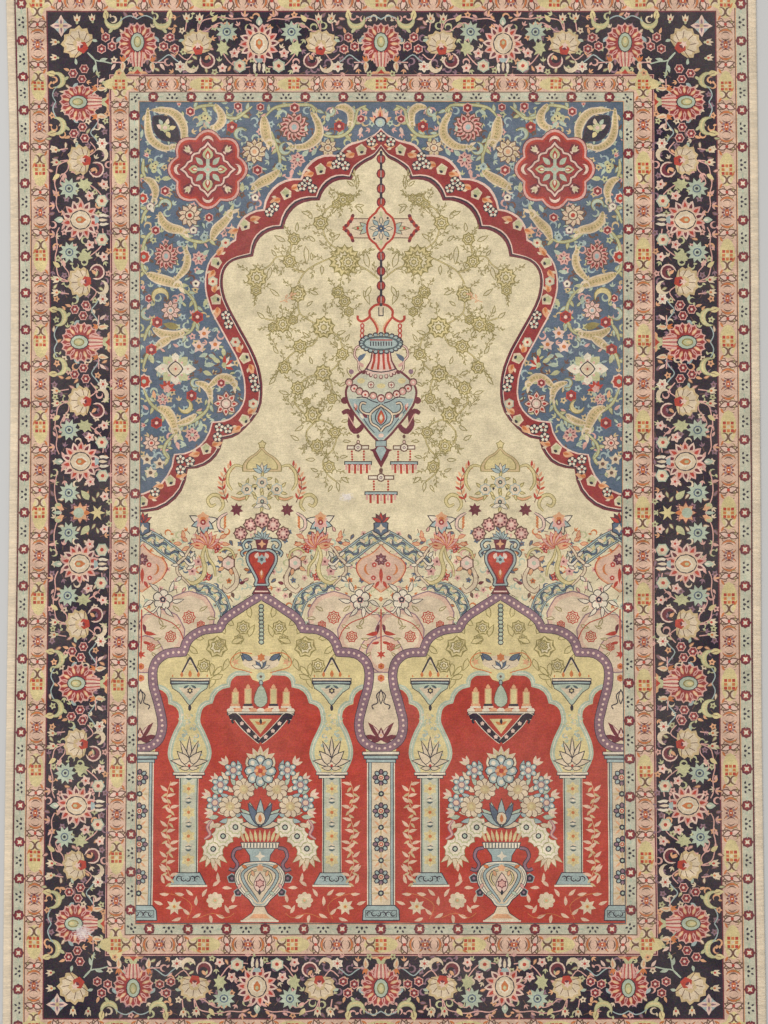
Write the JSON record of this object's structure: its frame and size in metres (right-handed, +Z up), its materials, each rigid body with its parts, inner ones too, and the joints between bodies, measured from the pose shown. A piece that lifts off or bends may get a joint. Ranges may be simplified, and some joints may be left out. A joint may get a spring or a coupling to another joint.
{
  "type": "silk prayer rug",
  "caption": "Flat hand-knotted silk prayer rug with a scalloped niche, patterned borders and overcast long edges.",
  "frame": {"origin": "middle of the rug's bounding box, on the surface that the underside rests on", "axes": "+Y along the rug's length towards the top of the niche, +X to the right seen from above, +Z up out of the pile"},
  "size_m": [1.032, 1.47, 0.0032],
  "materials": {
    "silk_pile": "short knotted silk pile in navy, brick red, steel blue, ivory and celadon, softly lustrous and slightly faded",
    "edge_silk": "ivory silk yarn wrapped closely over the edge warps"
  },
  "bodies": {
    "root": {"knotted_sheet": "silk_pile", "overcast_edge_left": "edge_silk", "overcast_edge_right": "edge_silk"}
  },
  "joints": []
}
